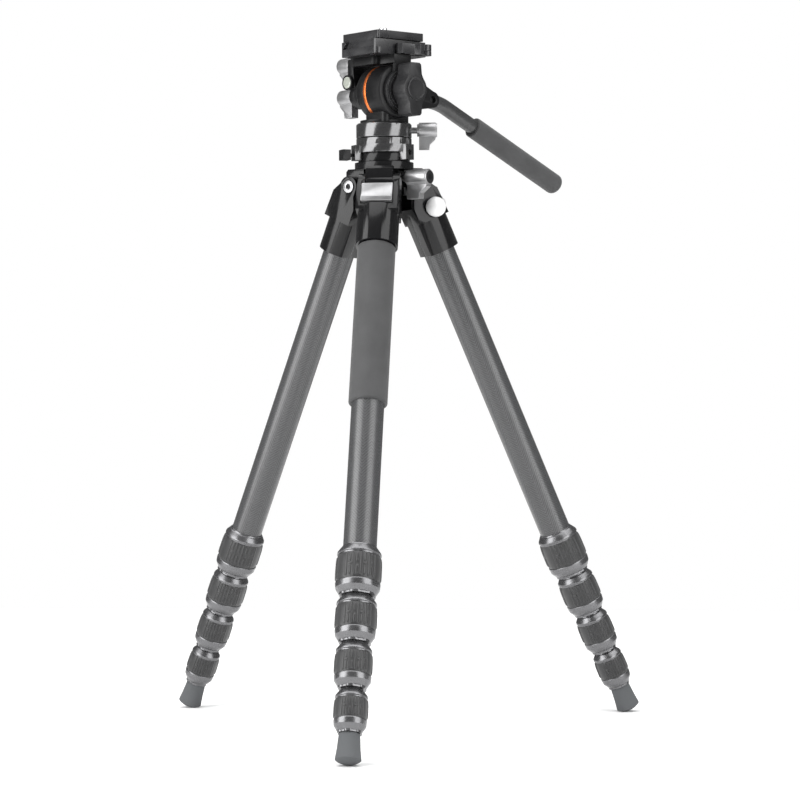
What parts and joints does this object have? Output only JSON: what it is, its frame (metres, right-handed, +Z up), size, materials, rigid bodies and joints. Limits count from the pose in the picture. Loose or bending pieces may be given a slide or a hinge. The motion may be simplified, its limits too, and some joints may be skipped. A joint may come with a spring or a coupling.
{
  "type": "tripod with fluid head",
  "caption": "Compact carbon tripod with twist-lock telescoping legs and a fluid head with pan bar and quick-release camera plate.",
  "frame": {"origin": "middle of the bounding box, at the level of the feet", "axes": "+Z up; the leg with the grip sleeve points along -Y; the plane X = 0 holds that leg and the tripod axis"},
  "size_m": [0.4036, 0.3657, 0.578],
  "materials": {
    "carbon": "twill weave under clear satin lacquer",
    "black_anodised": "glossy black anodised casting",
    "dark_metal": "gloss black turned metal",
    "lock_rubber": "ribbed dark rubber between gunmetal rings",
    "foot_rubber": "smooth dark rubber",
    "foam": "matte dark foam",
    "silver": "satin titanium grey",
    "bright_steel": "polished",
    "steel": "machined",
    "orange": "anodised orange",
    "bar": "satin dark grey",
    "vial": "clear plastic",
    "head_black": "fine textured black"
  },
  "bodies": {
    "crown": {"spider": "black_anodised", "leg_pivot_bolts": "steel"},
    "column": {"column": "dark_metal", "base_ring": "dark_metal", "pan_base": "dark_metal"},
    "column_knob": {"column_lock_knob": "silver"},
    "latch": {"base_latch": "head_black"},
    "pan_knob": {"pan_lock_knob": "silver"},
    "head": {"head_body": "head_black", "accent_ring": "orange"},
    "tilt": {"tilt_bracket": "head_black", "tilt_axle": "steel", "bubble_level": "vial", "plate_clamp": "black_anodised"},
    "tilt_knob": {"tilt_lock_knob": "silver"},
    "plate_knob": {"plate_lock_knob": "silver"},
    "drag": {"drag_knob": "head_black"},
    "handle": {"pan_bar": "bar", "pan_bar_grip": "foam"},
    "lever": {"clamp_lever": "black_anodised"},
    "plate": {"camera_plate": "black_anodised"},
    "screw": {"camera_screw": "bright_steel"},
    "front_leg": {"front_shoulder": "black_anodised", "front_tube_1": "carbon", "grip_sleeve": "foam"},
    "front_tab": {"front_angle_tab": "silver"},
    "front_section_2": {"front_tube_2": "carbon"},
    "front_section_3": {"front_tube_3": "carbon"},
    "front_section_4": {"front_tube_4": "carbon"},
    "front_section_5": {"front_tube_5": "carbon", "front_foot": "foot_rubber"},
    "front_twist_1": {"front_lock_1": "lock_rubber"},
    "front_twist_2": {"front_lock_2": "lock_rubber"},
    "front_twist_3": {"front_lock_3": "lock_rubber"},
    "front_twist_4": {"front_lock_4": "lock_rubber"},
    "right_leg": {"right_shoulder": "black_anodised", "right_tube_1": "carbon", "ball_cap": "bright_steel"},
    "right_tab": {"right_angle_tab": "silver"},
    "right_section_2": {"right_tube_2": "carbon"},
    "right_section_3": {"right_tube_3": "carbon"},
    "right_section_4": {"right_tube_4": "carbon"},
    "right_section_5": {"right_tube_5": "carbon", "right_foot": "foot_rubber"},
    "right_twist_1": {"right_lock_1": "lock_rubber"},
    "right_twist_2": {"right_lock_2": "lock_rubber"},
    "right_twist_3": {"right_lock_3": "lock_rubber"},
    "right_twist_4": {"right_lock_4": "lock_rubber"},
    "left_leg": {"left_shoulder": "black_anodised", "left_tube_1": "carbon"},
    "left_tab": {"left_angle_tab": "silver"},
    "left_section_2": {"left_tube_2": "carbon"},
    "left_section_3": {"left_tube_3": "carbon"},
    "left_section_4": {"left_tube_4": "carbon"},
    "left_section_5": {"left_tube_5": "carbon", "left_foot": "foot_rubber"},
    "left_twist_1": {"left_lock_1": "lock_rubber"},
    "left_twist_2": {"left_lock_2": "lock_rubber"},
    "left_twist_3": {"left_lock_3": "lock_rubber"},
    "left_twist_4": {"left_lock_4": "lock_rubber"}
  },
  "joints": [
    {"name": "front_leg_splay", "type": "hinge", "parent": "crown", "child": "front_leg", "pos_m": [0, 0.024, 0.44765], "axis": [-1, 0, 0], "range_deg": [-24, 56]},
    {"name": "front_tab_pull", "type": "slide", "parent": "front_leg", "child": "front_tab", "axis": [0, -0.9135, 0.4067], "range_m": [0, 0.003], "stiffness_N_per_m": 400},
    {"name": "front_twist_1", "type": "hinge", "parent": "front_leg", "child": "front_twist_1", "pos_m": [0, 0.024, 0.44765], "axis": [0, -0.4067, -0.9135], "range_deg": [0, 110]},
    {"name": "front_slide_2", "type": "slide", "parent": "front_leg", "child": "front_section_2", "axis": [0, -0.4067, -0.9135], "range_m": [0, 0.245]},
    {"name": "front_twist_2", "type": "hinge", "parent": "front_section_2", "child": "front_twist_2", "pos_m": [0, 0.024, 0.44765], "axis": [0, -0.4067, -0.9135], "range_deg": [0, 110]},
    {"name": "front_slide_3", "type": "slide", "parent": "front_section_2", "child": "front_section_3", "axis": [0, -0.4067, -0.9135], "range_m": [0, 0.265]},
    {"name": "front_twist_3", "type": "hinge", "parent": "front_section_3", "child": "front_twist_3", "pos_m": [0, 0.024, 0.44765], "axis": [0, -0.4067, -0.9135], "range_deg": [0, 110]},
    {"name": "front_slide_4", "type": "slide", "parent": "front_section_3", "child": "front_section_4", "axis": [0, -0.4067, -0.9135], "range_m": [0, 0.285]},
    {"name": "front_twist_4", "type": "hinge", "parent": "front_section_4", "child": "front_twist_4", "pos_m": [0, 0.024, 0.44765], "axis": [0, -0.4067, -0.9135], "range_deg": [0, 110]},
    {"name": "front_slide_5", "type": "slide", "parent": "front_section_4", "child": "front_section_5", "axis": [0, -0.4067, -0.9135], "range_m": [0, 0.31]},
    {"name": "right_leg_splay", "type": "hinge", "parent": "crown", "child": "right_leg", "pos_m": [0.02165, 0.0615, 0.44765], "axis": [0.5, -0.866, 0], "range_deg": [-24, 56]},
    {"name": "right_tab_pull", "type": "slide", "parent": "right_leg", "child": "right_tab", "axis": [0.7912, 0.4568, 0.4067], "range_m": [0, 0.003], "stiffness_N_per_m": 400},
    {"name": "right_twist_1", "type": "hinge", "parent": "right_leg", "child": "right_twist_1", "pos_m": [0.02165, 0.0615, 0.44765], "axis": [0.3522, 0.2034, -0.9135], "range_deg": [0, 110]},
    {"name": "right_slide_2", "type": "slide", "parent": "right_leg", "child": "right_section_2", "axis": [0.3522, 0.2034, -0.9135], "range_m": [0, 0.245]},
    {"name": "right_twist_2", "type": "hinge", "parent": "right_section_2", "child": "right_twist_2", "pos_m": [0.02165, 0.0615, 0.44765], "axis": [0.3522, 0.2034, -0.9135], "range_deg": [0, 110]},
    {"name": "right_slide_3", "type": "slide", "parent": "right_section_2", "child": "right_section_3", "axis": [0.3522, 0.2034, -0.9135], "range_m": [0, 0.265]},
    {"name": "right_twist_3", "type": "hinge", "parent": "right_section_3", "child": "right_twist_3", "pos_m": [0.02165, 0.0615, 0.44765], "axis": [0.3522, 0.2034, -0.9135], "range_deg": [0, 110]},
    {"name": "right_slide_4", "type": "slide", "parent": "right_section_3", "child": "right_section_4", "axis": [0.3522, 0.2034, -0.9135], "range_m": [0, 0.285]},
    {"name": "right_twist_4", "type": "hinge", "parent": "right_section_4", "child": "right_twist_4", "pos_m": [0.02165, 0.0615, 0.44765], "axis": [0.3522, 0.2034, -0.9135], "range_deg": [0, 110]},
    {"name": "right_slide_5", "type": "slide", "parent": "right_section_4", "child": "right_section_5", "axis": [0.3522, 0.2034, -0.9135], "range_m": [0, 0.31]},
    {"name": "left_leg_splay", "type": "hinge", "parent": "crown", "child": "left_leg", "pos_m": [-0.02165, 0.0615, 0.44765], "axis": [0.5, 0.866, 0], "range_deg": [-24, 56]},
    {"name": "left_tab_pull", "type": "slide", "parent": "left_leg", "child": "left_tab", "axis": [-0.7912, 0.4568, 0.4067], "range_m": [0, 0.003], "stiffness_N_per_m": 400},
    {"name": "left_twist_1", "type": "hinge", "parent": "left_leg", "child": "left_twist_1", "pos_m": [-0.02165, 0.0615, 0.44765], "axis": [-0.3522, 0.2034, -0.9135], "range_deg": [0, 110]},
    {"name": "left_slide_2", "type": "slide", "parent": "left_leg", "child": "left_section_2", "axis": [-0.3522, 0.2034, -0.9135], "range_m": [0, 0.245]},
    {"name": "left_twist_2", "type": "hinge", "parent": "left_section_2", "child": "left_twist_2", "pos_m": [-0.02165, 0.0615, 0.44765], "axis": [-0.3522, 0.2034, -0.9135], "range_deg": [0, 110]},
    {"name": "left_slide_3", "type": "slide", "parent": "left_section_2", "child": "left_section_3", "axis": [-0.3522, 0.2034, -0.9135], "range_m": [0, 0.265]},
    {"name": "left_twist_3", "type": "hinge", "parent": "left_section_3", "child": "left_twist_3", "pos_m": [-0.02165, 0.0615, 0.44765], "axis": [-0.3522, 0.2034, -0.9135], "range_deg": [0, 110]},
    {"name": "left_slide_4", "type": "slide", "parent": "left_section_3", "child": "left_section_4", "axis": [-0.3522, 0.2034, -0.9135], "range_m": [0, 0.285]},
    {"name": "left_twist_4", "type": "hinge", "parent": "left_section_4", "child": "left_twist_4", "pos_m": [-0.02165, 0.0615, 0.44765], "axis": [-0.3522, 0.2034, -0.9135], "range_deg": [0, 110]},
    {"name": "left_slide_5", "type": "slide", "parent": "left_section_4", "child": "left_section_5", "axis": [-0.3522, 0.2034, -0.9135], "range_m": [0, 0.31]},
    {"name": "column_slide", "type": "slide", "parent": "crown", "child": "column", "axis": [0, 0, 1], "range_m": [0, 0.025]},
    {"name": "column_knob_turn", "type": "hinge", "parent": "crown", "child": "column_knob", "pos_m": [0, 0.049, 0.453], "axis": [0.891, -0.454, 0], "range_deg": [-18, 8]},
    {"name": "base_latch_push", "type": "slide", "parent": "column", "child": "latch", "axis": [0.8746, 0.4848, 0], "range_m": [0, 0.002], "stiffness_N_per_m": 400},
    {"name": "pan_knob_turn", "type": "hinge", "parent": "column", "child": "pan_knob", "pos_m": [0, 0.049, 0.4933], "axis": [0.9925, 0.1219, 0], "range_deg": [0, 90]},
    {"name": "pan", "type": "hinge", "parent": "column", "child": "head", "pos_m": [0, 0.049, 0.499], "axis": [0, 0, 1], "continuous": true},
    {"name": "tilt", "type": "hinge", "parent": "head", "child": "tilt", "pos_m": [0, 0.049, 0.5245], "axis": [0.749, -0.6626, 0], "range_deg": [-20, 80]},
    {"name": "tilt_knob_turn", "type": "hinge", "parent": "tilt", "child": "tilt_knob", "pos_m": [0, 0.049, 0.5245], "axis": [0.749, -0.6626, 0], "range_deg": [-90, 0]},
    {"name": "plate_knob_turn", "type": "hinge", "parent": "tilt", "child": "plate_knob", "pos_m": [0, 0.049, 0.551], "axis": [0.749, -0.6626, 0], "range_deg": [-90, 0]},
    {"name": "drag_knob_turn", "type": "hinge", "parent": "tilt", "child": "drag", "pos_m": [0, 0.049, 0.5245], "axis": [0.749, -0.6626, 0], "continuous": true},
    {"name": "handle_angle", "type": "hinge", "parent": "tilt", "child": "handle", "pos_m": [0.03258, 0.06424, 0.519], "axis": [0.749, -0.6626, 0], "range_deg": [0, 70]},
    {"name": "clamp_lever_swing", "type": "hinge", "parent": "tilt", "child": "lever", "pos_m": [0.036, 0.04653, 0.554], "axis": [0, 0, 1], "range_deg": [0, 90]},
    {"name": "plate_slide", "type": "slide", "parent": "tilt", "child": "plate", "axis": [0.6626, 0.749, 0], "range_m": [-0.012, 0.012]},
    {"name": "camera_screw_turn", "type": "hinge", "parent": "plate", "child": "screw", "pos_m": [0, 0.049, 0.56], "axis": [0, 0, 1], "continuous": true}
  ]
}
